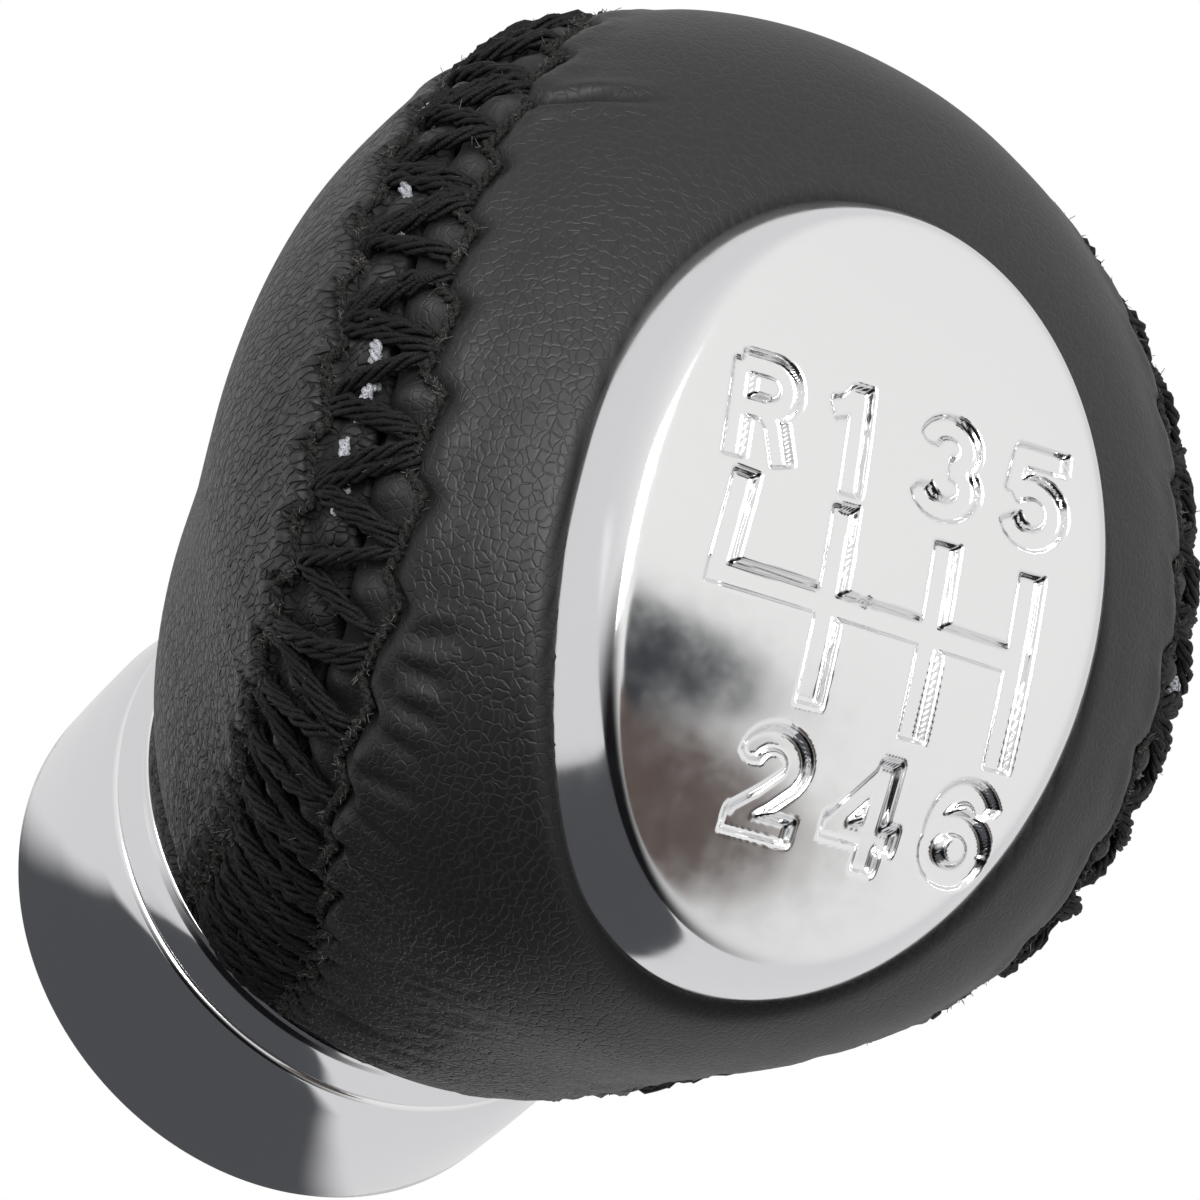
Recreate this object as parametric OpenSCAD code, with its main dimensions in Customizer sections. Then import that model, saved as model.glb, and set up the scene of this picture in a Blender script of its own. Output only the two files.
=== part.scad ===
// Leather wrapped gear shift knob with a bright shift pattern plate and a bright three piece neck.
// Frame: origin at the bottom centre of the neck, +Z up the neck axis, +X to the driver's right,
// +Y away from the driver. All sizes in millimetres.

/* [Knob] */
// width of the leather head, side to side
head_w = 50; // [44:0.5:56]
// depth of the head over its width
head_depth_ratio = 1.107; // [1.0:0.001:1.2]
// distance of the head's middle forward of the neck axis
head_forward = 0.84; // [0:0.01:4]
// thickness of the leather
leather_t = 1.3; // [0.9:0.1:1.8]

/* [Neck] */
// radius of the skirt at its foot
skirt_foot_r = 15.95; // [14:0.05:18]
// radius of the skirt at the crease under the band
skirt_top_r = 15.5; // [14:0.05:18]
// height of the skirt
skirt_h = 11.2; // [9:0.1:16]
// wall of the skirt
skirt_wall = 1.5; // [1.2:0.1:2]
// height of the bright band above the crease
band_h = 2.2; // [1.6:0.05:3]
// radius of the band at its top
band_top_r = 14.7; // [14:0.05:16]
// height of the thin lip that holds the leather
lip_h = 0.45; // [0.35:0.05:0.8]
// radius of the lip
lip_r = 14.95; // [14:0.05:16]
// groove between neighbouring neck rings
ring_gap = 0.12; // [0.1:0.01:0.3]
// width of the rings' seat on the spigot
ring_seat = 2.3; // [1.8:0.1:3]
// height of the spigot's end above the foot
spigot_z = 5; // [4.5:0.5:6]
// wall of the stem above the spigot, round the insert
stem_wall = 2.4; // [2:0.1:3]
// length of the stem that is glued up into the core
stem_l = 7.81; // [6:0.01:9]
// small bevel on the edges of the bright rings
bevel = 0.35; // [0.2:0.01:0.45]
// fit gap between pieces that are pressed or glued together
fit_gap = 0.1; // [0.05:0.01:0.15]

/* [Lever socket] */
// radius of the threaded hole in the insert, at the thread's crests
thread_r = 4.45; // [3.9:0.05:5.5]
// outer radius of the insert
insert_r = 8; // [7:0.1:9]
// depth of the insert's hole
insert_l = 27; // [20:1:30]
// thickness of the insert's closed end
insert_cap = 2; // [1.5:0.5:4]
// height of the insert's mouth above the foot
insert_z = 5.5; // [5:0.5:8]

/* [Plate] */
// half width of the bevel body of the plate
plate_half_w = 15.15; // [13:0.01:17]
// half length of the bevel body of the plate
plate_half_l = 19.88; // [17:0.01:22]
// half height of the bevel body of the plate
plate_half_h = 14.56; // [12:0.01:16]
// depth of the bevel body's middle below the plate frame
plate_sink = 5.74; // [5:0.01:6.4]
// top of the plate's domed face above the plate frame
face_top = 3.06; // [2.4:0.01:3.4]
// curve radius of the face along the knob
face_r = 47.2; // [40:0.1:60]
// curve radius of the face side to side over its radius along the knob
face_flat = 1.896; // [1.2:0.001:2.4]
// tilt of the plate toward the driver, in degrees
plate_tilt = 22.63; // [15:0.01:30]
// angle at which the plate sits above the head's middle, in degrees
plate_angle = 66.03; // [60:0.01:75]
// depth of the plate frame under the leather's surface
plate_inset = 2.16; // [1.8:0.01:2.6]
// depth of the shift pattern
mark_depth = 0.45; // [0.3:0.05:0.6]
// width of the pattern's strokes
mark_w = 1.35; // [1:0.05:1.8]
// distance between the gear lines of the pattern
gate_step = 5.45; // [4.5:0.05:6]
// height of the pattern's gear lines, from their upper to their lower ends
gate_h = 8.7; // [7:0.1:10]
// distance of the opening under the plate inside the plate's edge
pad_inset = 4; // [3.5:0.1:5]

/* [Seams] */
// distance between neighbouring lacing holes along a seam
pitch = 4.5; // [3.5:0.1:6]
// half width of the laced band, from the seam to a row of lacing holes
band_half = 3.1; // [2.4:0.1:3.6]
// radius of the lacing thread
lace_r = 0.46; // [0.3:0.02:0.6]
// radius of the edge thread
edge_r = 0.28; // [0.2:0.02:0.4]
// depth of the edge thread's zigzag
edge_wave = 0.9; // [0.5:0.1:1.3]
// radius of the basting thread
baste_r = 0.22; // [0.15:0.01:0.3]
// gap between a thread and the leather
thread_gap = 0.1; // [0.05:0.01:0.15]
// gap between the leather panels at a seam
seam_gap = 0.6; // [0.3:0.05:1.2]

/* [Hidden] */
far = 1.2 * head_w;
stem_r = insert_r + stem_wall;
band_z = skirt_h + ring_gap;
lip_z = band_z + band_h + ring_gap;
seat_z = lip_z + lip_h + fit_gap;
stem_z = seat_z + stem_l;
insert_end = insert_z + insert_l + insert_cap;
spigot_r = min(skirt_top_r, band_top_r, lip_r) - ring_seat;
ring_hole_r = spigot_r + fit_gap;
k = head_w / 50;
head_mid_z = seat_z + 24.61 * k;
// shape of the head: radius by angle from its middle
shape_r = 26.505 * k;
shape_1 = -0.0085;
shape_2 = -0.0930;
shape_3 = 0.0931;
shape_4 = -0.0155;
steps = 16;
// shape of a seam seen from the side: a rounded arch
arch_y = head_forward + 4.66 * k;
arch_z = head_mid_z - 1.1 * k;
arch_half = 22.4 * k;
arch_up = 18.9 * k;
arch_down = 30.4 * k;
arch_pow = 2.6;
chrome = [0.86, 0.86, 0.87];
black = [0.09, 0.09, 0.10];
plastic = [0.13, 0.13, 0.14];
steel = [0.62, 0.60, 0.55];
white = [0.82, 0.84, 0.86];

function shape(a, off = 0) = shape_r * (1 + shape_1 * sin(a) + shape_2 * cos(2 * a)
    + shape_3 * sin(3 * a) + shape_4 * cos(4 * a)) - off;

// value of the head's surface at a point: zero on it, positive outside
function local_y(p) = p[1] - head_forward;
function local_z(p) = p[2] - head_mid_z;
function ball(p) = norm([p[0], local_y(p) / head_depth_ratio, local_z(p)]);
function surf(p) = ball(p) - shape(asin(local_z(p) / ball(p)));
function slope(p) = [surf(p + [0.01, 0, 0]) - surf(p - [0.01, 0, 0]),
    surf(p + [0, 0.01, 0]) - surf(p - [0, 0.01, 0]),
    surf(p + [0, 0, 0.01]) - surf(p - [0, 0, 0.01])] / 0.02;
function unit(v) = v / norm(v);
function onto(p, n = 3) = n == 0 ? p : onto(p - unit(slope(p)) * surf(p) / norm(slope(p)), n - 1);
function above(p, h) = p + unit(slope(p)) * h;

// seam arch in the side view, angle 0 at the back and 180 at the front
function spow(v, e) = sign(v) * pow(abs(v), e);
function arch(a) = [arch_y + arch_half * spow(cos(a), 2 / arch_pow),
    arch_z + (a < 0 || a > 180 ? arch_down : arch_up) * spow(sin(a), 2 / arch_pow)];
arch_from = -42;
arch_to = 222;
arch_n = 134;
// the same arch, longer and coarser, as the edge of the cut between the panels
cut_from = -52;
cut_to = 232;
cut_n = 28;
function arch_a(i) = arch_from + (arch_to - arch_from) * i / arch_n;
function side_x(p, n = 6) = n == 0 ? p : side_x([sqrt(max(1, pow(shape(asin(local_z(p) / ball(p))), 2)
    - pow(local_y(p) / head_depth_ratio, 2) - pow(local_z(p), 2))), p[1], p[2]], n - 1);
seam_pts = [for (i = [0:arch_n]) side_x([20, arch(arch_a(i))[0], arch(arch_a(i))[1]])];
function running(i, s, acc) = i > arch_n ? acc
    : running(i + 1, s + norm(seam_pts[i] - seam_pts[i - 1]), concat(acc, [s + norm(seam_pts[i] - seam_pts[i - 1])]));
seam_s = running(1, 0, [0]);
seam_len = seam_s[arch_n];
holes = round(seam_len / pitch);
function at(s) = let (i = [for (j = [0:arch_n - 1]) if (seam_s[j] <= s && s <= seam_s[j + 1]) j][0],
    f = (s - seam_s[i]) / (seam_s[i + 1] - seam_s[i])) seam_pts[i] * (1 - f) + seam_pts[i + 1] * f;
function clampd(s) = max(0.02, min(seam_len - 0.02, s));
function along(s) = unit(at(clampd(s + 0.8)) - at(clampd(s - 0.8)));
// point beside the seam: w is positive toward the strip in the middle of the knob
function beside(s, w, h) = let (p = at(clampd(s)), q = p + unit(cross(along(s), slope(p))) * w)
    above(onto(q), h);
side_sign = cross(along(seam_len / 2), slope(at(seam_len / 2)))[0] < 0 ? 1 : -1;
function hole_at(panel) = panel > 0 ? 0.5 : 0.12;
function edge_pt(i, panel, h) = beside((i + hole_at(panel)) * seam_len / holes,
    panel * side_sign * band_half, h);
function mid(p, q, h) = above(onto((p + q) / 2), h);

// angle from the head's middle at which its outline reaches a height
function angle_at(z, off, a = -60, n = 12) = n == 0 ? a
    : angle_at(z, off, asin((z - head_mid_z) / shape(a, off)), n - 1);
function outline(off, from) = [for (i = [0:steps]) let (a = from + (90 - from) * i / steps)
    [i == steps ? 0 : shape(a, off) * cos(a), shape(a, off) * sin(a)]];

module turned(points, sides = 96) {
    translate([0, head_forward, head_mid_z])
        scale([1, head_depth_ratio, 1])
            rotate_extrude($fn = sides)
                polygon(points);
}

// the solid head down to a flat foot at height z
module head(off, z, sides = 96) {
    turned(concat(outline(off, angle_at(z, off)), [[0, z - head_mid_z]]), sides);
}

// the leather's body: the head's surface down to a wall's depth
module shell() {
    inner = outline(leather_t, angle_at(seat_z, leather_t));
    turned(concat(outline(0, angle_at(seat_z, 0)), [for (i = [steps:-1:0]) inner[i]]));
}

// prism through the head along X with the seam arch as outline, out to one side
module side_prism(from, to, grow) {
    translate([from, 0, 0])
        rotate([90, 0, 90])
            linear_extrude(height = to - from)
                polygon([for (i = [0:cut_n]) let (a = cut_from + (cut_to - cut_from) * i / cut_n)
                    [arch_y + (arch_half + grow) * spow(cos(a), 2 / arch_pow),
                     arch_z + ((a < 0 || a > 180 ? arch_down : arch_up) + grow) * spow(sin(a), 2 / arch_pow)]]);
}

module in_plate_frame() {
    reach = shape(plate_angle) - plate_inset;
    translate([0, head_forward - reach * cos(plate_angle) * head_depth_ratio,
            head_mid_z + reach * sin(plate_angle)])
        rotate([plate_tilt, 0, 0])
            children();
}

// plate body: a bevel body cut by the domed face, moved in by off
module plate_body(off) {
    intersection() {
        translate([0, 0, -plate_sink])
            scale([(plate_half_w - off) / plate_half_h, (plate_half_l - off) / plate_half_h, 1])
                sphere(r = plate_half_h, $fn = 96);
        face_ball(off);
    }
}

module face_ball(off) {
    translate([0, 0, face_top - off - face_r])
        scale([face_flat, 1, 1])
            sphere(r = face_r, $fn = 96);
}

module oval_hole(grow) {
    half_w = plate_half_w - pad_inset + grow;
    half_l = plate_half_l - pad_inset + grow;
    translate([0, 0, -far / 5])
        scale([half_w / half_l, 1, 1])
            cylinder(r = half_l, h = far * 2 / 5, $fn = 96);
}

// the strokes of the shift pattern, seen along the plate frame's axis
module stroke(x1, y1, x2, y2) {
    len = norm([x2 - x1, y2 - y1]);
    translate([x1, y1, 0])
        rotate([0, 0, atan2(y2 - y1, x2 - x1)])
            translate([-mark_w / 2, -mark_w / 2, 0])
                cube([len + mark_w, mark_w, 2 * face_top]);
}
// the gate's left line, its ends and its cross bar, and the lean of its lines
gate_x = -1.367 * gate_step;
gate_top = gate_h / 3;
gate_low = gate_top - gate_h;
gate_mid = -gate_h / 6;
gate_tilt = 0.042;
function gate(c, y) = [gate_x + c * gate_step + gate_tilt * (gate_top - y), y];
module pattern() {
    for (c = [1:3])
        stroke(gate(c, gate_top)[0], gate_top, gate(c, gate_low)[0], gate_low);
    stroke(gate(0, gate_top)[0], gate_top, gate(0, gate_mid)[0], gate_mid);
    stroke(gate(0, gate_mid)[0], gate_mid, gate(3, gate_mid)[0], gate_mid);
}

module skirt() {
    color(chrome)
        rotate_extrude($fn = 128)
            polygon([[skirt_foot_r - skirt_wall, 0], [skirt_foot_r - bevel, 0], [skirt_foot_r, bevel],
                [skirt_foot_r + bevel / 4, skirt_h * 0.3], [skirt_foot_r + bevel / 7, skirt_h * 0.6],
                [skirt_top_r + bevel / 3, skirt_h - 3.5 * bevel], [skirt_top_r, skirt_h - bevel],
                [skirt_top_r - bevel, skirt_h], [ring_hole_r, skirt_h],
                [ring_hole_r, skirt_h - skirt_wall], [skirt_top_r - skirt_wall, skirt_h - skirt_wall]]);
}

module band_ring() {
    color(chrome)
        rotate_extrude($fn = 128)
            polygon([[ring_hole_r, band_z], [skirt_top_r - bevel, band_z],
                [skirt_top_r - bevel / 2, band_z + bevel / 2],
                [(skirt_top_r + band_top_r - bevel / 3) / 2, band_z + band_h * 0.6],
                [band_top_r, band_z + band_h - bevel / 2], [band_top_r - bevel / 2, band_z + band_h],
                [ring_hole_r, band_z + band_h]]);
}

module lip_ring() {
    color(chrome)
        rotate_extrude($fn = 128)
            polygon([[ring_hole_r, lip_z], [lip_r - bevel / 3, lip_z], [lip_r, lip_z + bevel / 3],
                [lip_r, lip_z + lip_h - bevel / 3], [lip_r - bevel / 3, lip_z + lip_h], [ring_hole_r, lip_z + lip_h]]);
}

// neck tube: carries the three bright rings, its stem is glued up into the core
module neck_tube() {
    color(plastic)
        rotate_extrude($fn = 96)
            polygon([[insert_r + fit_gap, spigot_z], [spigot_r, spigot_z], [spigot_r, seat_z - fit_gap],
                [stem_r, seat_z - fit_gap], [stem_r, stem_z], [insert_r + fit_gap, stem_z]]);
}

module core() {
    color(plastic)
        difference() {
            hull()
                head(leather_t + 2 * fit_gap, seat_z, 40);
            translate([0, 0, seat_z - 1])
                cylinder(r = stem_r + fit_gap, h = stem_l + fit_gap + 1, $fn = 64);
            translate([0, 0, seat_z])
                cylinder(r = insert_r + fit_gap, h = insert_end + fit_gap - seat_z, $fn = 64);
        }
}

module insert() {
    color(steel)
        difference() {
            translate([0, 0, insert_z])
                cylinder(r = insert_r, h = insert_l + insert_cap, $fn = 64);
            translate([0, 0, insert_z - 1])
                cylinder(r = thread_r, h = insert_l + 1, $fn = 64);
        }
}

module plate() {
    color(chrome)
        difference() {
            in_plate_frame()
                difference() {
                    plate_body(0);
                    difference() {
                        pattern();
                        face_ball(mark_depth);
                    }
                }
            head(-fit_gap, seat_z);
        }
}

module plate_pad() {
    color(black)
        intersection() {
            shell();
            in_plate_frame()
                oval_hole(-fit_gap);
        }
}

module leather_strip() {
    color(black)
        difference() {
            shell();
            side_prism(-far, far, seam_gap / 2);
            in_plate_frame()
                oval_hole(0);
        }
}

module leather_side(side) {
    color(black)
        intersection() {
            shell();
            side_prism(side > 0 ? 0 : -far, side > 0 ? far : 0, -seam_gap / 2);
        }
}
module leather_left() {
    leather_side(-1);
}
module leather_right() {
    leather_side(1);
}

// a thread of n sides swept through points that lie near the head's surface
module thread(path, r, n) {
    last = len(path) - 1;
    rings = [for (i = [0:last]) let (
        ahead = unit(path[min(last, i + 1)] - path[max(0, i - 1)]),
        up = unit(slope(path[i])),
        out = unit(cross(ahead, up)),
        top = cross(out, ahead))
        for (j = [0:n - 1]) path[i] + r * (cos(360 * j / n) * out + sin(360 * j / n) * top)];
    walls = [for (i = [0:last - 1]) for (j = [0:n - 1])
        for (face = [[i * n + j, i * n + (j + 1) % n, (i + 1) * n + j],
            [i * n + (j + 1) % n, (i + 1) * n + (j + 1) % n, (i + 1) * n + j]]) face];
    ends = [[for (j = [n - 1:-1:0]) j], [for (j = [0:n - 1]) last * n + j]];
    polyhedron(rings, concat(walls, ends));
}

// lacing: from each hole in the strip's edge to the two nearest holes of the side panel
module lacing(side) {
    lift = lace_r + thread_gap;
    color(black)
        scale([side, 1, 1])
            for (i = [0:holes - 2]) {
                a = edge_pt(i, 1, lift);
                b = edge_pt(i, -1, lift);
                c = edge_pt(i + 1, -1, lift);
                thread([b, mid(a, b, lift), a], lace_r, 6);
                thread([a, mid(a, c, lift), c], lace_r, 6);
            }
}
module lacing_left() {
    lacing(-1);
}
module lacing_right() {
    lacing(1);
}

// edge thread: a zigzag round the lacing holes of one panel
module edge_thread(side, panel) {
    lift = edge_r + thread_gap;
    crest = band_half + lace_r + edge_r + 1.5 * thread_gap;
    function corner(i) = beside((i / 2 + hole_at(panel)) * seam_len / holes,
        panel * side_sign * (i % 2 == 0 ? crest : crest - edge_wave), lift);
    color(black)
        scale([side, 1, 1])
            thread([for (i = [0:holes * 2 - 2]) corner(i)], edge_r, 4);
}
module edge_thread_left_strip() {
    edge_thread(-1, 1);
}
module edge_thread_left_side() {
    edge_thread(-1, -1);
}
module edge_thread_right_strip() {
    edge_thread(1, 1);
}
module edge_thread_right_side() {
    edge_thread(1, -1);
}

// basting: the pale thread that shows in the gap between the panels
module basting(side) {
    color(white)
        scale([side, 1, 1])
            thread([for (i = [0:holes]) above(at(clampd(i * seam_len / holes)), -leather_t / 2)], baste_r, 4);
}
module basting_left() {
    basting(-1);
}
module basting_right() {
    basting(1);
}

skirt();
band_ring();
lip_ring();
neck_tube();
core();
insert();
plate_pad();
plate();
leather_strip();
leather_left();
leather_right();
lacing_left();
lacing_right();
edge_thread_left_strip();
edge_thread_left_side();
edge_thread_right_strip();
edge_thread_right_side();
basting_left();
basting_right();
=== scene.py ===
"""Gear shift knob: laced leather head, bright shift pattern plate and bright ringed neck."""
import logging
import math
from dataclasses import dataclass, field
from enum import Enum

import bmesh
import bpy
import numpy as np
from mathutils import Matrix, Vector


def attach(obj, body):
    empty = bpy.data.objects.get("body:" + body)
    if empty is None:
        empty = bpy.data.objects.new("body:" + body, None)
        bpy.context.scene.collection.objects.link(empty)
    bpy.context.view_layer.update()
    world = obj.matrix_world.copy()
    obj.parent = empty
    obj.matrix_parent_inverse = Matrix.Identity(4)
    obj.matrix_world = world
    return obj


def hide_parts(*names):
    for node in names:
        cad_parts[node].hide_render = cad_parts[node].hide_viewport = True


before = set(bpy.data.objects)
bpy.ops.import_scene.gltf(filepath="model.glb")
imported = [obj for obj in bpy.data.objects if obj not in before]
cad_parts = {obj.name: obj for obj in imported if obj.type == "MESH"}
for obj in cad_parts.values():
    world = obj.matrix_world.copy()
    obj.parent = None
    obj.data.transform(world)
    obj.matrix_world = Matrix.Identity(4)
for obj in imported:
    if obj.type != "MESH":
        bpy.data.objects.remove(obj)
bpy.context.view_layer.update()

MM = 0.001
log = logging.getLogger("knob")
logging.basicConfig(level=logging.INFO, format="%(name)s: %(message)s")


def linear(hex_colour: str) -> tuple:
    """Turns an sRGB hex colour into linear RGBA.

    Args:
        hex_colour: the colour as "#rrggbb".
    Returns:
        Linear red, green, blue and an alpha of 1.
    """
    parts = [int(hex_colour[i:i + 2], 16) / 255 for i in (1, 3, 5)]
    return tuple(c / 12.92 if c <= 0.04045 else ((c + 0.055) / 1.055) ** 2.4 for c in parts) + (1.0,)


def unit(v: np.ndarray) -> np.ndarray:
    """Scales vectors on the last axis to length one."""
    return v / np.maximum(np.linalg.norm(v, axis=-1, keepdims=True), 1e-12)


def ease(x: np.ndarray) -> np.ndarray:
    """Smooth step from 0 to 1 as x goes from 0 to 1."""
    x = np.clip(x, 0.0, 1.0)
    return x * x * (3.0 - 2.0 * x)


@dataclass(frozen=True)
class Unevenness:
    """Smooth seeded noise in space, for hand worked surfaces."""
    seed: int = 7
    size: int = 32

    def lattice(self) -> np.ndarray:
        """Random values on a cube of points that wraps round."""
        return np.random.RandomState(self.seed).uniform(-1.0, 1.0, (self.size,) * 3)

    def at(self, p: np.ndarray, octaves: int = 1) -> np.ndarray:
        """Noise from about -1 to 1.

        Args:
            p: points, one to a row, already divided by the feature size.
            octaves: layers, each half the size of the last.
        Returns:
            One value a point.
        """
        grid = self.lattice()
        total, weight, norm = 0.0, 1.0, 0.0
        for octave in range(octaves):
            q = p * 2 ** octave + 11.3 * octave
            base = np.floor(q).astype(int)
            f = q - base
            f = f * f * (3 - 2 * f)
            value = 0.0
            for dx in (0, 1):
                for dy in (0, 1):
                    for dz in (0, 1):
                        w = (np.where(dx, f[:, 0], 1 - f[:, 0]) * np.where(dy, f[:, 1], 1 - f[:, 1])
                             * np.where(dz, f[:, 2], 1 - f[:, 2]))
                        i, j, k = ((base + np.array([dx, dy, dz])) % self.size).T
                        value = value + w * grid[i, j, k]
            total, norm, weight = total + weight * value, norm + weight, weight / 2
        return total / norm


@dataclass(frozen=True)
class HeadForm:
    """The egg shaped head under the leather, in millimetres."""
    centre: tuple = (0.0, 0.842, 38.80)
    depth_ratio: float = 1.107
    radius: float = 26.505
    waves: tuple = (-0.0085, -0.0930, 0.0931, -0.0155)
    seat_z: float = 14.25

    def rho(self, lam: np.ndarray) -> np.ndarray:
        """Radius at an angle above the middle."""
        a, b, c, d = self.waves
        wave = a * np.sin(lam) + b * np.cos(2 * lam) + c * np.sin(3 * lam) + d * np.cos(4 * lam)
        return self.radius * (1 + wave)

    def surface(self, p: np.ndarray) -> np.ndarray:
        """Zero on the head, positive outside."""
        q = (p - np.array(self.centre)) / np.array([1.0, self.depth_ratio, 1.0])
        ball = np.linalg.norm(q, axis=-1)
        return ball - self.rho(np.arcsin(np.clip(q[..., 2] / ball, -1, 1)))

    def normal(self, p: np.ndarray) -> np.ndarray:
        """Outward unit normals near the surface."""
        e = 0.01
        steps = np.eye(3) * e
        return unit(np.stack([self.surface(p + s) - self.surface(p - s) for s in steps], axis=-1))

    def onto(self, p: np.ndarray) -> np.ndarray:
        """Moves points onto the head along its normal."""
        for _ in range(4):
            p = p - self.normal(p) * self.surface(p)[..., None]
        return p

    def polar(self, theta: np.ndarray, phi: np.ndarray) -> np.ndarray:
        """Points by angle round the side to side axis (theta) and angle from its right end (phi)."""
        d = np.stack([np.cos(phi), np.sin(phi) * np.cos(theta), np.sin(phi) * np.sin(theta)], axis=-1)
        r = self.rho(np.arcsin(np.clip(d[..., 2], -1, 1)))[..., None]
        out = d * np.array([1.0, self.depth_ratio, 1.0])
        p = out * r + np.array(self.centre)
        below = p[..., 2] < self.seat_z
        drop = (self.seat_z - self.centre[2]) / np.where(below, out[..., 2], -1.0)
        flat = out * drop[..., None] + np.array(self.centre)
        return np.where(below[..., None], flat, p)

    def angles(self, p: np.ndarray) -> tuple:
        """theta and phi of points."""
        q = (p - np.array(self.centre)) / np.array([1.0, self.depth_ratio, 1.0])
        phi = np.arccos(np.clip(q[..., 0] / np.linalg.norm(q, axis=-1), -1, 1))
        return np.arctan2(q[..., 2], q[..., 1]), phi


@dataclass(frozen=True)
class ViewPoint:
    """The camera, and where its lines of sight meet the head."""
    place: tuple = (-151.478, -214.942, 346.457)
    back: tuple = (-0.3708, -0.53254, 0.76086)
    right: tuple = (0.8747, 0.07507, 0.47882)
    up: tuple = (-0.31211, 0.84307, 0.43798)
    focal_px: float = 7997.93
    half_px: float = 600.0
    search: tuple = (340.0, 460.0, 0.5)

    def hit(self, form: HeadForm, pixels: list) -> np.ndarray:
        """Points of the head seen at pixels of the 1200 pixel frame, in millimetres."""
        px = np.array(pixels, float)
        d = unit(-np.array(self.back) * self.focal_px + (px[:, :1] - self.half_px) * np.array(self.right)
                 + (self.half_px - px[:, 1:2]) * np.array(self.up))
        eye = np.array(self.place)
        first, last, stride = self.search
        before, behind = np.full(len(px), first), np.full(len(px), first)
        found = np.zeros(len(px), bool)
        for step in np.arange(first, last, stride):
            inside = form.surface(eye + d * step) < 0
            behind = np.where(inside & ~found, step, behind)
            before = np.where(inside & ~found, step - stride, before)
            found |= inside
        for _ in range(20):
            middle = (before + behind) / 2
            inside = form.surface(eye + d * middle[:, None]) < 0
            behind, before = np.where(inside, middle, behind), np.where(inside, before, middle)
        return eye + d * behind[:, None]

    def make(self) -> bpy.types.Object:
        """Creates the camera."""
        data = bpy.data.cameras.new("camera")
        data.sensor_width = 36.0
        data.lens = self.focal_px * 36.0 / (2 * self.half_px)
        data.clip_start, data.clip_end = 0.01, 20.0
        cam = bpy.data.objects.new("camera", data)
        turn = Matrix((self.right, self.up, self.back)).transposed().to_4x4()
        cam.matrix_world = Matrix.Translation(Vector(self.place) * MM) @ turn
        bpy.context.scene.collection.objects.link(cam)
        bpy.context.scene.camera = cam
        return cam


class Side(Enum):
    """Which of the two mirrored seams."""
    LEFT = -1
    RIGHT = 1


@dataclass
class Seam:
    """A laced seam: a rounded arch in the side view, laid on the head."""
    form: HeadForm
    side: Side
    arch_y: float = 5.5
    arch_z: float = 37.7
    half: float = 22.4
    rise: float = 18.9
    drop: float = 30.4
    power: float = 2.6
    first: float = -56.0
    last: float = 236.0
    pitch: float = 4.6
    start: float = 0.0
    points: np.ndarray = field(default=None)
    length: np.ndarray = field(default=None)

    def __post_init__(self) -> None:
        """Samples the seam from its back foot over the shoulder to its front foot."""
        a = np.radians(np.linspace(self.first, self.last, 900))
        e = 2 / self.power
        y = self.arch_y + self.half * np.sign(np.cos(a)) * np.abs(np.cos(a)) ** e
        reach = np.where(np.sin(a) < 0, self.drop, self.rise)
        z = self.arch_z + reach * np.sign(np.sin(a)) * np.abs(np.sin(a)) ** e
        x = np.full_like(y, 15.0)
        for _ in range(60):
            p = np.stack([x, y, z], axis=-1)
            q = (p - np.array(self.form.centre)) / np.array([1.0, self.form.depth_ratio, 1.0])
            r = self.form.rho(np.arcsin(np.clip(q[:, 2] / np.linalg.norm(q, axis=-1), -1, 1)))
            x = np.sqrt(np.maximum(1.0, r ** 2 - q[:, 1] ** 2 - q[:, 2] ** 2))
        self.points = np.stack([x * self.side.value, y, z], axis=-1)
        steps = np.linalg.norm(np.diff(self.points, axis=0), axis=1)
        self.length = np.concatenate([[0.0], np.cumsum(steps)])

    def sample(self, s: np.ndarray) -> np.ndarray:
        """Points on the seam at lengths s from its back end."""
        return np.stack([np.interp(s, self.length, self.points[:, i]) for i in range(3)], axis=-1)

    def across(self, s: np.ndarray) -> np.ndarray:
        """Unit vectors across the seam, toward the middle strip."""
        along = unit(self.sample(s + 0.5) - self.sample(s - 0.5))
        out = np.cross(along, self.form.normal(self.sample(s)))
        toward = -self.side.value
        flip = np.where(out[..., 0] * toward < 0, -1.0, 1.0)
        return unit(out) * flip[..., None]

    def place(self, s: np.ndarray, w: np.ndarray, h: np.ndarray) -> np.ndarray:
        """Points at length s, w to the strip's side and h above the leather."""
        s, w, h = np.broadcast_arrays(np.asarray(s, float), np.asarray(w, float), np.asarray(h, float))
        p = self.form.onto(self.sample(s) + self.across(s) * w[..., None])
        return p + self.form.normal(p) * h[..., None]

    def locate(self, p: np.ndarray) -> tuple:
        """Length s and signed distance w of the nearest seam place, for each point."""
        best = np.empty(len(p), int)
        for i in range(0, len(p), 4000):
            part = p[i:i + 4000, None, :] - self.points[None, ::2, :]
            best[i:i + 4000] = np.argmin(np.einsum("ijk,ijk->ij", part, part), axis=1) * 2
        s = self.length[best]
        away = p - self.points[best]
        along = unit(self.sample(s + 0.5) - self.sample(s - 0.5))
        s = s + np.einsum("ij,ij->i", away, along)
        side = np.einsum("ij,ij->i", away, self.across(s))
        dist = np.linalg.norm(p - self.sample(s), axis=1)
        return s, np.where(side < 0, -dist, dist)

    def phi_at(self, theta: np.ndarray) -> np.ndarray:
        """Angle from the right end at which the right hand seam lies, by theta."""
        mirror = self.points * np.array([self.side.value, 1.0, 1.0])
        t, phi = self.form.angles(mirror)
        t = np.unwrap(t)
        order = np.argsort(t)
        t, phi = t[order], phi[order]
        turn = 2 * np.pi
        wrapped = np.mod(theta - t[0], turn) + t[0]
        return np.interp(wrapped, np.append(t, t[0] + turn), np.append(phi, phi[0]))


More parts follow.
